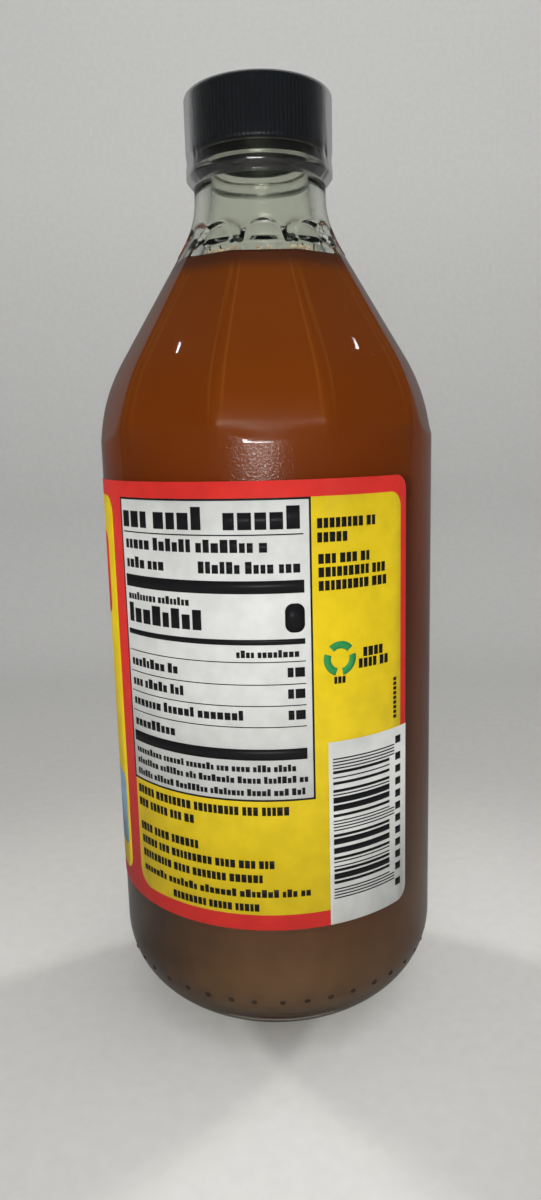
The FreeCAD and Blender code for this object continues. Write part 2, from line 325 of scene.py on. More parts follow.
def noise(nodes, links, position, scale, detail=3.0, stretch=(1, 1, 1)):
    """Soft noise from 0 to 1; a scale of 0.1 gives patches about 10 mm across."""
    stretched = nodes.new("ShaderNodeMapping")
    stretched.inputs["Scale"].default_value = stretch
    links.new(position, stretched.inputs["Vector"])
    texture = nodes.new("ShaderNodeTexNoise")
    set_sockets(texture, {"Scale": scale, "Detail": detail})
    links.new(stretched.outputs["Vector"], texture.inputs["Vector"])
    return texture.outputs["Fac"]


def ramp(nodes, links, factor, stops):
    """Colours along a factor; stops are (place, colour)."""
    blend = nodes.new("ShaderNodeValToRGB")
    elements = blend.color_ramp.elements
    while len(elements) < len(stops):
        elements.new(0.5)
    for element, (place, colour) in zip(elements, stops):
        element.position = place
        element.color = (*colour, 1)
    links.new(factor, blend.inputs["Fac"])
    return blend.outputs["Color"]


def mix_colours(nodes, links, factor, first, second, way="MIX"):
    """Blends two colours; the factor and each colour is a socket or a plain value."""
    blend = nodes.new("ShaderNodeMix")
    blend.data_type = "RGBA"
    blend.blend_type = way
    for socket, value in ((blend.inputs["Factor"], factor), (blend.inputs["A"], first),
                          (blend.inputs["B"], second)):
        if isinstance(value, bpy.types.NodeSocket):
            links.new(value, socket)
        elif isinstance(value, tuple):
            socket.default_value = (*value, 1)
        else:
            socket.default_value = value
    return blend.outputs["Result"]


def range_of(nodes, links, value, low, high, to_low=0.0, to_high=1.0):
    """Maps a value from one range to another, held at its ends."""
    remap = nodes.new("ShaderNodeMapRange")
    set_sockets(remap, {"From Min": low, "From Max": high, "To Min": to_low, "To Max": to_high})
    links.new(value, remap.inputs["Value"])
    return remap.outputs["Result"]


def maths(nodes, links, operation, first, second=0.0, third=0.0):
    """One maths node; each input is a socket or a number."""
    node = nodes.new("ShaderNodeMath")
    node.operation = operation
    for socket, value in zip(node.inputs, (first, second, third)):
        if isinstance(value, bpy.types.NodeSocket):
            links.new(value, socket)
        else:
            socket.default_value = value
    return node.outputs["Value"]


def bump(nodes, links, height, strength, distance, under=None):
    """The normal of a surface raised by a height; under is the normal that it is laid over."""
    raised = nodes.new("ShaderNodeBump")
    set_sockets(raised, {"Strength": strength, "Distance": distance})
    links.new(height, raised.inputs["Height"])
    if under:
        links.new(under, raised.inputs["Normal"])
    return raised.outputs["Normal"]


def mix_shaders(nodes, links, factor, first, second):
    blend = nodes.new("ShaderNodeMixShader")
    links.new(factor, blend.inputs["Fac"])
    links.new(first, blend.inputs[1])
    links.new(second, blend.inputs[2])
    return blend.outputs["Shader"]


def clear_shader(nodes, tint):
    clear = nodes.new("ShaderNodeBsdfTransparent")
    clear.inputs["Color"].default_value = (*tint, 1)
    return clear.outputs["BSDF"]


def put_out(nodes, links, surface):
    """Makes a shader the material's surface."""
    output = next(node for node in nodes if node.type == "OUTPUT_MATERIAL")
    links.new(surface, output.inputs["Surface"])


def let_lamps_through(nodes, links, shader, tint):
    """Shadow and diffuse rays go straight through, so what is behind the clear piece is lit."""
    path = nodes.new("ShaderNodeLightPath")
    either = maths(nodes, links, "MAXIMUM", path.outputs["Is Shadow Ray"], path.outputs["Is Diffuse Ray"])
    put_out(nodes, links, mix_shaders(nodes, links, either, shader.outputs["BSDF"],
                                      clear_shader(nodes, tint)))


def glass_material():
    """Clear glass, faintly green and wavy, whose fine orange peel spreads a sharp glint."""
    material, nodes, links, shader = node_material("flint_glass")
    position = position_in_mm(nodes, links)
    set_sockets(shader, {"Transmission Weight": 1.0, "IOR": 1.5,
                         "Coat Weight": 0.5, "Coat Roughness": 0.18})
    streaks = noise(nodes, links, position, 0.06, 2.0)
    clear = ramp(nodes, links, streaks, [(0.3, (0.84, 0.87, 0.78)), (0.7, (0.88, 0.90, 0.82))])
    links.new(clear, shader.inputs["Base Color"])
    smudges = noise(nodes, links, position, 0.12, 4.0)
    links.new(range_of(nodes, links, smudges, 0.5, 0.75, 0.03, 0.06), shader.inputs["Roughness"])
    waves = bump(nodes, links, noise(nodes, links, position, 0.09, 1.0), 0.05, 0.0006)
    peel = bump(nodes, links, noise(nodes, links, position, 1.3, 1.0), 0.5, 0.000006, waves)
    grain = bump(nodes, links, noise(nodes, links, position, 2.0, 1.0), 1.0, 0.00008, waves)
    links.new(peel, shader.inputs["Normal"])
    links.new(grain, shader.inputs["Coat Normal"])
    let_lamps_through(nodes, links, shader, (0.93, 0.94, 0.9))
    return material


def dot_material():
    """Painted shade: the glass dots drawn opaque dark brown, as dark as they look with the dark vinegar
    behind them.
    """
    material, nodes, links, shader = node_material("heel_dot_painted_shade")
    mottle = noise(nodes, links, position_in_mm(nodes, links), 0.8, 2.0)
    links.new(ramp(nodes, links, mottle, [(0.3, (0.018, 0.011, 0.007)), (0.7, (0.035, 0.022, 0.014))]),
              shader.inputs["Base Color"])
    set_sockets(shader, {"Roughness": 0.25, "Specular IOR Level": 0.2})
    return material


VINEGAR_DEPTHS = (  # from the sediment at the floor, as a share of the filled height, to the surface
    (0.0, (0.165, 0.085, 0.036)), (0.14, (0.085, 0.035, 0.012)), (0.3, (0.085, 0.022, 0.003)),
    (0.62, (0.122, 0.018, 0.0006)), (0.8, (0.165, 0.031, 0.0006)), (1.0, (0.155, 0.033, 0.0010)))
SEDIMENT = (0.17, 0.085, 0.040)
# colour of the darker patch low on one side of the vinegar
LOW_SIDE_DARKER = (0.030, 0.014, 0.006)
GATHERED_LIGHT = (0.30, 0.105, 0.014)
MENISCUS_SHADE = (0.070, 0.018, 0.006)


def vinegar_material():
    """Cloudy amber that turns brown towards the settled sediment, with a band of painted shade at its
    surface where the meniscus climbs the wall.
    """
    material, nodes, links, shader = node_material("cloudy_vinegar")
    position = position_in_mm(nodes, links)
    height = height_of(nodes, links, position)
    clouds = noise(nodes, links, position, 0.035, 4.0, (1, 1, 0.6))
    wisps = noise(nodes, links, position, 0.12, 5.0, (1, 1, 0.45))
    uneven = range_of(nodes, links, maths(nodes, links, "MULTIPLY_ADD", clouds, 16.0, height), 8, LEVEL + 8)
    colour = ramp(nodes, links, uneven, VINEGAR_DEPTHS)
    wispy = mix_colours(nodes, links, range_of(nodes, links, wisps, 0.45, 0.75, 0.0, 0.35),
                        colour, SEDIMENT)
    colour = mix_colours(nodes, links, range_of(nodes, links, height, 20, 42), wispy, colour)
    colour = mix_colours(nodes, links, dark_patch(nodes, links, position), colour, LOW_SIDE_DARKER)
    colour = mix_colours(nodes, links, ridge_glow(nodes, links, position), colour, GATHERED_LIGHT)
    # painted shade: the vinegar darkens over its top 3 mm or so, where the meniscus climbs the glass
    rim = range_of(nodes, links, height, LEVEL - 3.2, LEVEL - 0.8)
    links.new(mix_colours(nodes, links, rim, colour, MENISCUS_SHADE), shader.inputs["Base Color"])
    set_sockets(shader, {"Roughness": 0.3, "Specular IOR Level": 0.15})
    links.new(bump(nodes, links, clouds, 0.1, 0.001), shader.inputs["Normal"])
    return material


def dark_patch(nodes, links, position):
    """A darker patch low on one side of the vinegar."""
    away = nodes.new("ShaderNodeVectorMath")
    away.operation = "DISTANCE"
    away.inputs[1].default_value = (-30.0, -16.0, 24.0)  # its middle
    links.new(position, away.inputs[0])
    ragged = maths(nodes, links, "MULTIPLY_ADD", noise(nodes, links, position, 0.2, 3.0), 14.0,
                   away.outputs["Value"])
    return range_of(nodes, links, ragged, 16, 34, 0.85, 0.0)


def ridge_glow(nodes, links, position):
    """Light that the ridges between the flutes gather into two thin lines each on the vinegar."""
    beside_ridge, strength, rise = 0.055, 0.24, 12
    parts = nodes.new("ShaderNodeSeparateXYZ")
    links.new(position, parts.inputs["Vector"])
    to_front = maths(nodes, links, "MULTIPLY", parts.outputs["Y"], -1.0)
    turn = maths(nodes, links, "ARCTAN2", parts.outputs["X"], to_front)
    share = maths(nodes, links, "MULTIPLY_ADD", turn, PANELS / (2 * math.pi),
                  PANELS + 0.5 - PANEL_TURN * PANELS / 360)
    off = maths(nodes, links, "SUBTRACT", maths(nodes, links, "FRACT", share), 0.5)
    off = maths(nodes, links, "SUBTRACT", 0.5, maths(nodes, links, "ABSOLUTE", off))
    off = maths(nodes, links, "ABSOLUTE", maths(nodes, links, "SUBTRACT", off, beside_ridge))
    thin = range_of(nodes, links, off, 0.002, 0.022, 1.0, 0.0)
    foot = range_of(nodes, links, parts.outputs["Z"], SHOULDER_START, SHOULDER_START + rise,
                    0.0, strength)
    return maths(nodes, links, "MULTIPLY", thin, foot)


def foam_material():
    """Pale, wet bubbles with vinegar between them."""
    material, nodes, links, shader = node_material("surface_foam")
    mottle = noise(nodes, links, position_in_mm(nodes, links), 1.2, 2.0)
    links.new(ramp(nodes, links, mottle, [(0.3, (0.46, 0.31, 0.19)), (0.7, (0.76, 0.64, 0.50))]),
              shader.inputs["Base Color"])
    set_sockets(shader, {"Roughness": 0.12, "Specular IOR Level": 0.8})
    return material


def print_material(name, colour):
    """Ink on paper: slightly uneven colour, a satin finish and the paper's fine tooth."""
    material, nodes, links, shader = node_material(name)
    position = position_in_mm(nodes, links)
    patches = noise(nodes, links, position, 0.25, 3.0)
    darker = tuple(0.93 * share for share in colour)
    lighter = tuple(min(1.0, 1.04 * share) for share in colour)
    links.new(ramp(nodes, links, patches, [(0.35, darker), (0.65, lighter)]), shader.inputs["Base Color"])
    tooth = noise(nodes, links, position, 3.0, 3.0)
    links.new(range_of(nodes, links, tooth, 0.3, 0.7, 0.32, 0.42), shader.inputs["Roughness"])
    set_sockets(shader, {"Specular IOR Level": 0.25})
    links.new(bump(nodes, links, tooth, 0.12, 0.00005), shader.inputs["Normal"])
    return material


def cap_material():
    """Black moulded plastic with a fine grain."""
    material, nodes, links, shader = node_material("black_cap_plastic")
    position = position_in_mm(nodes, links)
    grain = noise(nodes, links, position, 1.5, 4.0)
    links.new(ramp(nodes, links, grain, [(0.3, (0.006, 0.008, 0.010)), (0.7, (0.009, 0.0115, 0.0145))]),
              shader.inputs["Base Color"])
    links.new(range_of(nodes, links, grain, 0.3, 0.7, 0.32, 0.42), shader.inputs["Roughness"])
    links.new(bump(nodes, links, grain, 0.08, 0.00008), shader.inputs["Normal"])
    return material


def film_material():
    """Thin clear film: glossy, more so at a glancing angle, where it also looks a little milky.

    It never bends what is behind it.
    """
    material, nodes, links, shader = node_material("clear_film")
    nodes.remove(shader)
    crinkles = noise(nodes, links, position_in_mm(nodes, links), 0.6, 3.0, (1, 1, 0.25))
    raised = bump(nodes, links, crinkles, 0.15, 0.0002)
    facing = nodes.new("ShaderNodeLayerWeight")
    facing.inputs["Blend"].default_value = 0.5
    gloss = nodes.new("ShaderNodeBsdfGlossy")
    set_sockets(gloss, {"Color": (0.95, 0.95, 0.95, 1), "Roughness": 0.12})
    for node in (facing, gloss):
        links.new(raised, node.inputs["Normal"])
    milk = nodes.new("ShaderNodeBsdfDiffuse")
    milk.inputs["Color"].default_value = (0.8, 0.8, 0.8, 1)
    glance = maths(nodes, links, "POWER", facing.outputs["Facing"], 3.5)
    milky = range_of(nodes, links, glance, 0, 0.25, 0, 0.22)
    seen = range_of(nodes, links, glance, 0, 0.25, 0.07, 1.0)
    surface = mix_shaders(nodes, links, milky, gloss.outputs["BSDF"], milk.outputs["BSDF"])
    put_out(nodes, links, mix_shaders(nodes, links, seen, clear_shader(nodes, (0.985,) * 3), surface))
    return material


def finish_piece(piece, material, slot, *replaced):
    """Gives a piece its material and hangs it on the body, hiding the CAD parts that it replaces; slot is
    not used.
    """
    piece.data.materials.clear()
    piece.data.materials.append(material)
    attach(piece, "root")
    if replaced:
        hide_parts(*replaced)


# ---------------------------------------------------------------- glass, vinegar, cap and film
def make_glass():
    bore = NECK - WALL
    outline = (outer_line() + arc((bore + LIP, MOUTH - LIP), LIP, math.pi / 2, math.pi, 6)
               + line((bore, MOUTH - 1), (bore, NECK_FOOT), 8) + inner_line(WALL, 0.0))
    glass = revolve("bottle_glass", outline, flute_angles(), fluted)
    finish_piece(glass, glass_material(), "glass_bottle", "glass_bottle")


def make_heel_dots():
    """The ring of small grip dots that the bottle's mould leaves on its heel."""
    sunk = 0.12
    radius = BODY - HEEL + math.sqrt(HEEL**2 - (HEEL - DOT_HEIGHT) ** 2) - sunk
    dots = []
    for index in range(DOTS):
        angle = 2 * math.pi * (index + random.uniform(-0.08, 0.08)) / DOTS
        centre = (radius * math.sin(angle), -radius * math.cos(angle), DOT_HEIGHT)
        dots.append(ball(centre, random.uniform(0.60, 0.78), (0.40, 1, 0.8), angle, rings=8, sides=14))
    finish_piece(join_meshes("heel_dots", dots), dot_material(), "glass_bottle")


def faceted(angles, radius, height):
    """The vinegar's sides follow the flutes, a little way inside the glass wall."""
    fade = min(1, max(0, (height - SHOULDER_START + 1) / 4)) * min(1, radius / 20)
    corner = 1 / np.cos(np.radians(off_panel(angles)))
    return radius * (1 + fade * (np.minimum(corner, 1.046) - 1))


CLIMB = 0.9  # how far the vinegar's edge climbs the wall


def make_vinegar():
    """Returns the radius of the vinegar's rim as well, for the bubbles on it."""
    reach = 3.2
    wall = [point for point in inner_line(WALL - EMBED, -EMBED) if point[1] < LEVEL + CLIMB]
    rim = wall[0][0]
    climb = [(rim - reach * share, LEVEL + CLIMB * (1 - share) ** 3) for share in np.linspace(0.05, 1, 10)]
    outline = [(0, LEVEL)] + climb[::-1] + wall
    vinegar = revolve("vinegar_fill", outline, flute_angles(), faceted)
    finish_piece(vinegar, vinegar_material(), "vinegar", "vinegar")
    return rim


def make_bubbles(rim):
    """Small bubbles that cling to the wall at the vinegar's surface, in loose groups."""
    wall_lean = 0.62
    bubbles = []
    for middle, spread, count in ((-27, 7, 26), (5, 4, 9), (30, 7, 26), (100, 12, 22), (165, 14, 22),
                                  (230, 12, 22)):
        for _ in range(count):
            angle = math.radians(random.gauss(middle, spread))
            size = random.uniform(0.16, 0.38)
            up = random.uniform(0.95, 1.6)
            radius = rim - 0.1 - size - wall_lean * (up - CLIMB)
            centre = (radius * math.sin(angle), -radius * math.cos(angle), LEVEL + up)
            bubbles.append(ball(centre, size, rings=5, sides=8))
    finish_piece(join_meshes("surface_bubbles", bubbles), foam_material(), "vinegar")


def make_cap():
    ribs, depth = 110, 0.14
    bore = FINISH + 0.15
    edge, dish = 1.0, 0.15

    def ribbed(angles, radius, height):
        """Fine upright ribs, fading out at the skirt's foot and the rounded top edge."""
        if radius < CAP - 0.3:
            return radius
        fade = min(1, max(0, (height - CAP_FOOT - 0.5) / 0.6), max(0, (CAP_HEAD - edge - height) / 0.6))
        return radius - depth * fade * (0.5 + 0.5 * np.cos(ribs * angles)) ** 1.5

    side = line((CAP, CAP_FOOT + 0.3), (CAP, CAP_HEAD - edge), 14)
    top = arc((CAP - edge, CAP_HEAD - edge), edge, 0, math.pi / 2, 8)
    outline = ([(0, MOUTH), (bore - 0.3, MOUTH), (bore, MOUTH - 0.3), (bore, CAP_FOOT + 0.2),
                (bore + 0.2, CAP_FOOT), (CAP - 0.3, CAP_FOOT)]
               + side + top + [(CAP - 2.4, CAP_HEAD), (CAP - 3.0, CAP_HEAD - dish), (0, CAP_HEAD - dish)])
    cap = revolve("screw_cap", outline, even(660), ribbed)
    finish_piece(cap, cap_material(), "cap", "cap")


def make_film():
    film = 0.1
    foot = (NECK + 0.05, BEAD_FOOT - 0.8)
    bend = (BAND - film, BEAD_FOOT + 1.0)
    edge = 1.05
    lip = CAP - 2.2
    head = band_high.z

    def side(out):
        """The film's line up the skirt and over the cap's edge."""
        round_edge = arc((BAND - film - edge, head - film - edge), edge + out, 0, math.pi / 2, 8)
        return (line((foot[0] + out, foot[1]), (bend[0] + out, bend[1]), 10)
                + line((bend[0] + out, bend[1]), round_edge[0], 40) + round_edge
                + [(lip, head - film + out)])

    waves = [(random.randint(17, 60), random.uniform(0, 6.3), random.uniform(0.3, 1)) for _ in range(9)]

    def crinkled(angles, radius, height):
        """Shrunk film lies flat on the cap and puckers over the gap above the bead and at its foot."""
        gap = math.exp(-((height - (CAP_FOOT + BEAD_HEAD) / 2) / 1.3) ** 2)
        tail = math.exp(-((height - foot[1]) / 1.6) ** 2)
        swing = sum(size * np.sin(count * angles + shift + 0.5 * height) for count, shift, size in waves)
        pucker = 0.045 * gap + 0.03 * tail + 0.004
        return radius - 0.16 * gap + pucker * (swing / 2.4 - 0.6)

    outline = side(film) + side(0.0)[::-1]
    band = revolve("shrink_film", outline, even(360), crinkled, loop=True)
    finish_piece(band, film_material(), "shrink_band", "shrink_band")


# ---------------------------------------------------------------- the label
LABEL_RIGHT = 49.0
LABEL_LEFT = -265.0
CORNER = 3.0
DEGREE = math.radians(1) * LABEL  # millimetres along the label for one degree
FIELD_LIFT, BOX_LIFT, INK_LIFT = 0.02, 0.04, 0.06  # of the layers of ink off the paper
INK_THICKNESS = 0.012


def patch(left, right, low, high, lift, corners=(0, 0, 0, 0)):
    """A curved patch on the label, from angles and heights above the label's foot.

    corners are the rounds at low left, low right, high right and high left.
    """
    columns = {left, right}
    columns.update(np.arange(math.ceil(left), math.floor(right) + 1, 1.0))
    low_left, low_right, high_right, high_left = corners
    for size, edge, inward in ((max(low_left, high_left), left, 1),
                               (max(low_right, high_right), right, -1)):
        if size:
            columns.update(edge + inward * size / DEGREE * (1 - math.cos(turn))
                           for turn in np.linspace(0, math.pi / 2, 9))
    vertices = []
    radius = LABEL + lift
    for angle in sorted(column for column in columns if left <= column <= right):
        to_left, to_right = (angle - left) * DEGREE, (right - angle) * DEGREE
        bottom = low + max(rounding(to_left, low_left), rounding(to_right, low_right))
        top = high - max(rounding(to_left, high_left), rounding(to_right, high_right))
        turn = math.radians(angle)
        vertices += [around(turn, radius, LABEL_FOOT + bottom), around(turn, radius, LABEL_FOOT + top)]
    return vertices, strip(vertices)


def rounding(distance, size):
    """How far a rounded corner cuts in, at a distance from the side edge."""
    if not size or distance >= size:
        return 0.0
    return size - math.sqrt(size**2 - (size - distance) ** 2)


def ring(centre, middle, width, height, stroke, lift, begin=0.0, end=360.0, sides=16):
    """An oval ring, or part of one, on the label. centre is in degrees, the rest in millimetres."""
    turns = np.radians(np.linspace(begin, end, max(3, int(sides * (end - begin) / 360)) + 1))
    vertices = []
    for turn in turns:
        for shrink in (0.0, stroke):
            across = (width / 2 - shrink) * math.cos(turn) / DEGREE
            up = (height / 2 - shrink) * math.sin(turn)
            vertices.append(around(math.radians(centre + across), LABEL + lift,
                                   LABEL_FOOT + middle + up))
    return vertices, strip(vertices)


def disc(centre, middle, radius, lift):
    """A filled round spot on the label, as upright slices."""
    spread = radius / DEGREE
    vertices = []
    for turn in np.linspace(-math.pi / 2, math.pi / 2, 41):
        angle = math.radians(centre + spread * math.sin(turn))
        reach = max(radius * math.cos(turn), 0.001)
        for up in (-reach, reach):
            vertices.append(around(angle, LABEL + lift, LABEL_FOOT + middle + up))
    return vertices, strip(vertices)


def print_row(left, right, base, height, capitals=False, lift=INK_LIFT):
    """A row of word-length groups of small solid blocks: it stands for print and spells nothing."""
    marks = []
    at = left
    while at < right:
        for _ in range(random.randint(3, 9)):
            tall = height if capitals or random.random() < 0.25 else 0.74 * height
            wide = random.uniform(0.4, 0.62) * height
            if at + wide / DEGREE > right:
                return marks
            marks.append(patch(at, at + wide / DEGREE, base, base + tall, lift))
            at += (wide + 0.14 * height) / DEGREE
        at += 0.32 * height / DEGREE
    return marks


def frame_line(left, right, low, high, width, lift):
    """A box's thin outline."""
    side = width / DEGREE
    return [patch(left, right, low, low + width, lift), patch(left, right, high - width, high, lift),
            patch(left, left + side, low, high, lift), patch(right - side, right, low, high, lift)]


FIELD_LOW, FIELD_HIGH = 3.4, 88.0  # of the yellow fields
PANEL_LEFT, PANEL_RIGHT = -55.0, 12.6
PANEL_LOW, PANEL_HIGH = 28.0, FIELD_HIGH
ROW_LEFT, ROW_RIGHT = PANEL_LEFT + 1.6, PANEL_RIGHT - 2.4


def facts_panel_ink():
    """The table in the white box: heading, rules, thick bars and rows with their values."""
    marks = frame_line(PANEL_LEFT, PANEL_RIGHT, PANEL_LOW, PANEL_HIGH, 0.4, INK_LIFT)
    marks += print_row(ROW_LEFT, -17.0, 82.1, 4.4)
    marks += print_row(-13.6, ROW_RIGHT, 82.1, 4.4)
    marks += print_row(ROW_LEFT + 1, 0.8, 77.8, 2.5)
    marks += print_row(ROW_LEFT + 1, -32.0, 73.9, 2.3)
    marks += print_row(-22.0, ROW_RIGHT, 73.8, 2.3)
    marks += print_row(ROW_LEFT + 1, -23.6, 67.3, 1.6)
    marks += print_row(ROW_LEFT + 1, -19.9, 62.6, 4.0)
    marks.append(patch(4.2, 10.2, 62.2, 67.9, INK_LIFT, (1.6,) * 4))
    marks += print_row(-10.8, ROW_RIGHT, 57.4, 1.5)
    for low, thick in ((81.0, 0.25), (69.9, 2.5), (59.9, 1.1), (56.4, 0.2), (51.9, 0.2), (47.6, 0.2),
                       (43.3, 0.2), (36.6, 2.3)):
        marks.append(patch(ROW_LEFT, ROW_RIGHT, low, low + thick, INK_LIFT))
    for base, reach in ((53.3, -29.8), (49.0, -28.5), (44.8, -8.0), (40.2, -32.7)):
        marks += print_row(ROW_LEFT + 1, reach, base, 2.0)
    for base in (53.4, 49.1, 44.8):
        marks.append(patch(4.6, 6.4, base, base + 1.9, INK_LIFT))
        marks.append(patch(6.9, 9.9, base, base + 1.9, INK_LIFT))
    for base, reach in ((34.2, 7.1), (31.8, 10.4), (29.2, 9.6)):
        marks += print_row(ROW_LEFT + 1, reach, base, 1.45)
    return marks


def side_column_ink():
    """Short rows beside the table and the address rows under it."""
    marks = []
    for base, left, right in ((82.0, 14.4, 34.8), (79.3, 14.4, 25.2), (75.2, 14.6, 33.3),
                              (72.6, 14.6, 40.3), (70.0, 14.6, 39.6), (56.0, 29.5, 39.8),
                              (53.8, 27.8, 40.6)):
        marks += print_row(left, right, base, 1.9, capitals=True)
    marks += print_row(19.2, 23.2, 51.3, 1.4, capitals=True)
    for base, left, right, height, capitals in (
            (25.0, -53.0, 4.2, 1.8, True), (22.0, -53.0, -26.1, 1.8, True),
            (16.6, -52.6, -26.0, 1.8, True), (13.6, -52.2, -0.7, 1.7, True),
            (10.5, -52.0, -3.0, 1.7, True), (7.3, -51.6, 11.1, 1.7, False),
            (4.2, -37.0, -5.2, 1.6, True)):
        marks += print_row(left, right, base, height, capitals)
    for step in range(9):
        marks.append(patch(42.3, 43.8, 41.5 + 1.0 * step, 42.2 + 1.0 * step, INK_LIFT))
    return marks


CODE_LEFT, CODE_HIGH = 17.0, 39.4


def barcode_ink():
    """Stacked bars of uneven width; the guard bars at the ends and middle reach further right."""
    marks = []
    left, right, guard = CODE_LEFT + 1.4, 40.4, 42.8
    pitch, low, modules = 0.33, 5.6, 92
    at = 0
    while at < modules:
        bar, space = random.choice((1, 1, 1, 2, 2, 3, 4)), random.choice((1, 1, 2, 2, 3))
        is_guard = at < 6 or at > modules - 9 or abs(at - modules / 2) < 4
        if is_guard:
            bar, space = 1, 1
        bar = min(bar, modules - at)
        marks.append(patch(left, guard if is_guard else right, low + at * pitch,
                           low + (at + bar - 0.15) * pitch, INK_LIFT))
        at += bar + space
    for step in range(12):
        middle = 4.6 + 2.75 * step + (0.9 if step > 0 else 0) + (0.9 if step > 10 else 0)
        marks.append(patch(43.3, 46.0, middle - 0.8, middle + 0.8, INK_LIFT))
    return marks


FRONT_LEFT, FRONT_RIGHT = -166.0, -62.5
BACK_LEFT, BACK_RIGHT = -262.0, -171.0
FRONT_MIDDLE = (FRONT_LEFT + FRONT_RIGHT) / 2


def front_panel():
    """The main face, out of the front view: plain generic fields. Returns marks by colour."""
    red = [patch(FRONT_LEFT + 8, FRONT_RIGHT - 8, 62, 80, BOX_LIFT, (3, 3, 3, 3)),
           disc(FRONT_MIDDLE, 36, 9.5, INK_LIFT + 0.02)]
    white = [disc(FRONT_MIDDLE, 36, 14, BOX_LIFT)]
    white += print_row(FRONT_LEFT + 15, FRONT_RIGHT - 15, 67, 8.5, True, INK_LIFT)
    ink = print_row(FRONT_LEFT + 20, FRONT_RIGHT - 20, 54.5, 3.4, True)
    ink += print_row(FRONT_LEFT + 12, FRONT_MIDDLE - 24, 12, 1.9)
    ink += print_row(FRONT_LEFT + 12, FRONT_MIDDLE - 24, 8.6, 1.9)
    green = [ring(FRONT_MIDDLE, 36, 25, 25, 1.6, INK_LIFT, sides=72)]
    blue = [patch(FRONT_RIGHT - 26, FRONT_RIGHT - 2.5, 9, 26, BOX_LIFT, (2, 2, 2, 2))]
    return red, white, ink, green, blue


def back_panel():
    """The face left of the main one: paragraphs of print and a small white box."""
    ink, white = [], [patch(BACK_LEFT + 8, BACK_RIGHT - 8, 8, 24, BOX_LIFT, (2, 2, 2, 2))]
    ink += print_row(BACK_LEFT + 8, BACK_RIGHT - 30, 80, 3.2, True)
    for row in range(14):
        right = BACK_RIGHT - 8 - (26 if row in (4, 9, 13) else random.uniform(0, 6))
        ink += print_row(BACK_LEFT + 8, right, 74.5 - 3.4 * row, 1.8)
    for row in range(3):
        ink += print_row(BACK_LEFT + 12, BACK_RIGHT - 12 - 8 * row, 18.5 - 4 * row, 2.0)
    return white, ink


def make_label():
    """One sheet of paper with its red print, and the other colours as thin layers of ink on it."""
    height = LABEL_HEAD - LABEL_FOOT
    paper = join_meshes("label_paper", [patch(LABEL_LEFT, LABEL_RIGHT, 0, height, 0, (CORNER,) * 4)])
    thicken(paper, LABEL - BODY - 0.02)
    finish_piece(paper, print_material("red_print", (0.62, 0.030, 0.024)), "label", "label")

    front_red, front_white, front_ink, front_green, front_blue = front_panel()
    back_white, back_ink = back_panel()
    yellow = [patch(left, right, FIELD_LOW, FIELD_HIGH, FIELD_LIFT, corners)
              for left, right, corners in ((PANEL_LEFT + 0.4, LABEL_RIGHT - 3.0, (4, 0, 3, 0)),
                                           (FRONT_LEFT, FRONT_RIGHT, (4, 4, 4, 4)),
                                           (BACK_LEFT, BACK_RIGHT, (4, 4, 4, 4)))]
    white = [patch(PANEL_LEFT, PANEL_RIGHT, PANEL_LOW, PANEL_HIGH, BOX_LIFT),
             patch(CODE_LEFT, LABEL_RIGHT, 0, CODE_HIGH, BOX_LIFT, (0, CORNER, 0, 0))]
    green = [ring(21.3, 56.3, 7.0, 7.0, 1.5, INK_LIFT, begin, begin + 92, sides=48)
             for begin in (40, 160, 280)]
    ink = facts_panel_ink() + side_column_ink() + barcode_ink() + front_ink + back_ink
    for name, marks, print_name, colour in (
            ("label_yellow", yellow, "yellow_print", (0.67, 0.485, 0.012)),
            ("label_white", white + front_white + back_white, "white_print", (0.58, 0.585, 0.56)),
            ("label_red_marks", front_red, "red_ink", (0.60, 0.030, 0.024)),
            ("label_green", green + front_green, "green_ink", (0.03, 0.25, 0.07)),
            ("label_blue", front_blue, "blue_ink", (0.18, 0.27, 0.33)),
            ("label_ink", ink, "black_ink", (0.009, 0.009, 0.010))):
        layer = join_meshes(name, marks)
        thicken(layer, INK_THICKNESS)
        finish_piece(layer, print_material(print_name, colour), "label")


def thicken(sheet, thickness):
    """Gives a sheet its thickness, inwards."""
    depth = sheet.modifiers.new("thickness", "SOLIDIFY")
    depth.thickness = thickness * MM
    depth.offset = -1


# ---------------------------------------------------------------- studio
def only_reflected(nodes, links):
    """1 for rays that a surface mirrors, 0 for those that also passed through glass."""
    path = nodes.new("ShaderNodeLightPath")
    return maths(nodes, links, "SUBTRACT", path.outputs["Is Glossy Ray"],
                 path.outputs["Is Transmission Ray"])


def make_stage():
    """A pale floor that sweeps up into a pale backdrop, in metres."""
    width, front, back, round_off, height = 1.0, -1.2, 0.5, 0.25, 1.3
    path = [(front, 0.0), (back - round_off, 0.0)]
    path += [(back - round_off + round_off * math.sin(turn), round_off - round_off * math.cos(turn))
             for turn in np.linspace(0.1, math.pi / 2, 16)]
    path.append((back, height))
    vertices = [(side * width, depth, rise) for depth, rise in path for side in (-1, 1)]
    sweep = new_piece("studio_sweep", vertices, [face[::-1] for face in strip(vertices)])
    sweep.data.materials.append(paper_material())


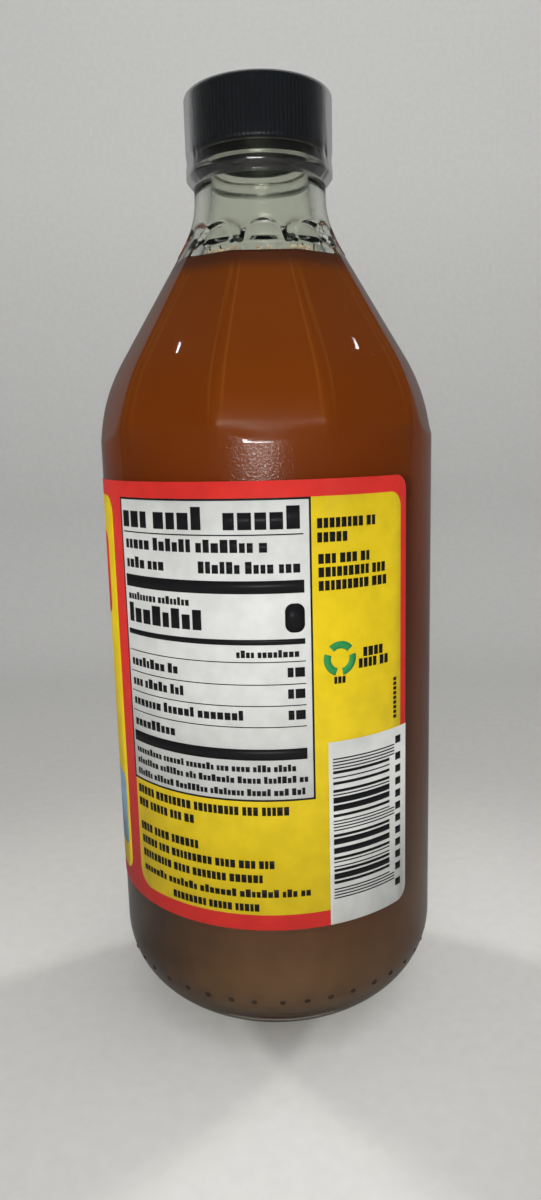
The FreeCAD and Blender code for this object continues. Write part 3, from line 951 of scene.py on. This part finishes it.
def paper_material():
    """Pale paper with painted shade low on the backdrop; mirrored in the glass it is painted dim."""
    material, nodes, links, shader = node_material("pale_paper")
    position = position_in_mm(nodes, links)
    fibres = noise(nodes, links, position, 0.3, 4.0)
    paper = ramp(nodes, links, fibres, [(0.3, (0.79, 0.785, 0.765)), (0.7, (0.83, 0.825, 0.805))])
    height = range_of(nodes, links, height_of(nodes, links, position), 0, 800)
    # painted shade by height: the backdrop is darkest about 80 mm up
    shade = ramp(nodes, links, height, [(place, (grey,) * 3)
                                        for place, grey in ((0.0, 0.86), (0.1, 0.74), (0.4, 0.93))])
    paper = mix_colours(nodes, links, 1.0, paper, shade, "MULTIPLY")
    # painted dim reflection: rays that a surface mirrors see the paper as dark grey
    links.new(mix_colours(nodes, links, only_reflected(nodes, links), paper, (0.20, 0.20, 0.20)),
              shader.inputs["Base Color"])
    set_sockets(shader, {"Roughness": 0.85, "Specular IOR Level": 0.2})
    return material


def add_lamp(data, place, target, turn, reflected):
    """Stands a lamp at a place, in metres, aimed at a target and turned about its own beam."""
    lamp = bpy.data.objects.new(data.name, data)
    lamp.location = place
    aim = Vector(np.subtract(target, place)).to_track_quat("-Z", "Y").to_matrix()
    lamp.rotation_euler = (aim @ Matrix.Rotation(math.radians(turn), 3, "Z")).to_euler()
    lamp.visible_glossy = reflected
    lamp.visible_transmission = reflected
    bpy.context.scene.collection.objects.link(lamp)


def make_lamp(name, place, size, power, height=None, turn=0.0):
    """A round or, with a height, an oblong lamp. An oblong one also shows in the glass, as a glint."""
    data = bpy.data.lights.new(name, "AREA")
    data.shape = "RECTANGLE" if height else "DISK"
    data.size = size
    if height:
        data.size_y = height
    data.energy = power
    add_lamp(data, place, (0, 0, 0.1), turn, bool(height))


def make_spot(name, place, power):
    """A narrow beam that shows in no reflection."""
    data = bpy.data.lights.new(name, "SPOT")
    data.energy = power
    data.spot_size = math.radians(26)
    data.spot_blend = 0.6
    data.shadow_soft_size = 0.05
    add_lamp(data, place, (0, 0, 0.11), 0.0, False)


def make_light():
    # soft light from in front and above
    make_lamp("front", (-0.05, -0.9, 0.16), 0.25, 5.3)
    make_lamp("top", (0.10, -0.1, 0.9), 0.6, 2.6)
    # glints: the flash beside the camera and an oblong lamp high on either side
    make_lamp("flash", (-0.016, -0.2, 0.1395), 0.06, 0.075, height=0.020)
    make_lamp("ceiling_left", (-0.691, 0.090, 0.855), 0.030, 0.012, height=0.004, turn=-45)
    make_lamp("ceiling_right", (0.707, 0.184, 0.809), 0.030, 0.012, height=0.004, turn=45)
    # light that a pale wall throws back onto the bottle's sides
    make_spot("back_left", (-0.45, 0.36, 0.26), 11.5)
    make_spot("back_right", (0.45, 0.36, 0.26), 11.5)


def make_world():
    """Dim grey light all round, dimmer still in reflections, behind a pale background."""
    world = bpy.data.worlds.new("studio_world")
    bpy.context.scene.world = world
    world.use_nodes = True
    nodes, links = world.node_tree.nodes, world.node_tree.links
    path = nodes.new("ShaderNodeLightPath")
    room = mix_colours(nodes, links, only_reflected(nodes, links), (0.14, 0.145, 0.15), (0.03, 0.03, 0.03))
    links.new(mix_colours(nodes, links, path.outputs["Is Camera Ray"], room, (0.52, 0.515, 0.50)),
              nodes["Background"].inputs["Color"])


def make_camera():
    """The photograph's own view: close in front, just above the label, looking a little down."""
    place, pitch, roll = (0, -0.1986, 0.1287), math.radians(79.41), math.radians(-1.49)
    data = bpy.data.cameras.new("camera")
    data.lens = 26.05
    data.clip_start = 0.01
    camera = bpy.data.objects.new("camera", data)
    bpy.context.scene.collection.objects.link(camera)
    camera.matrix_world = (Matrix.Translation(place) @ Matrix.Rotation(pitch, 4, "X")
                           @ Matrix.Rotation(roll, 4, "Z"))
    bpy.context.scene.camera = camera


make_camera()
make_light()
make_world()
make_stage()
make_glass()
make_bubbles(make_vinegar())
make_heel_dots()
make_cap()
make_film()
make_label()

scene = bpy.context.scene
scene.view_settings.view_transform = "Standard"
scene.cycles.max_bounces = 16
scene.cycles.transmission_bounces = 14
scene.cycles.transparent_max_bounces = 24
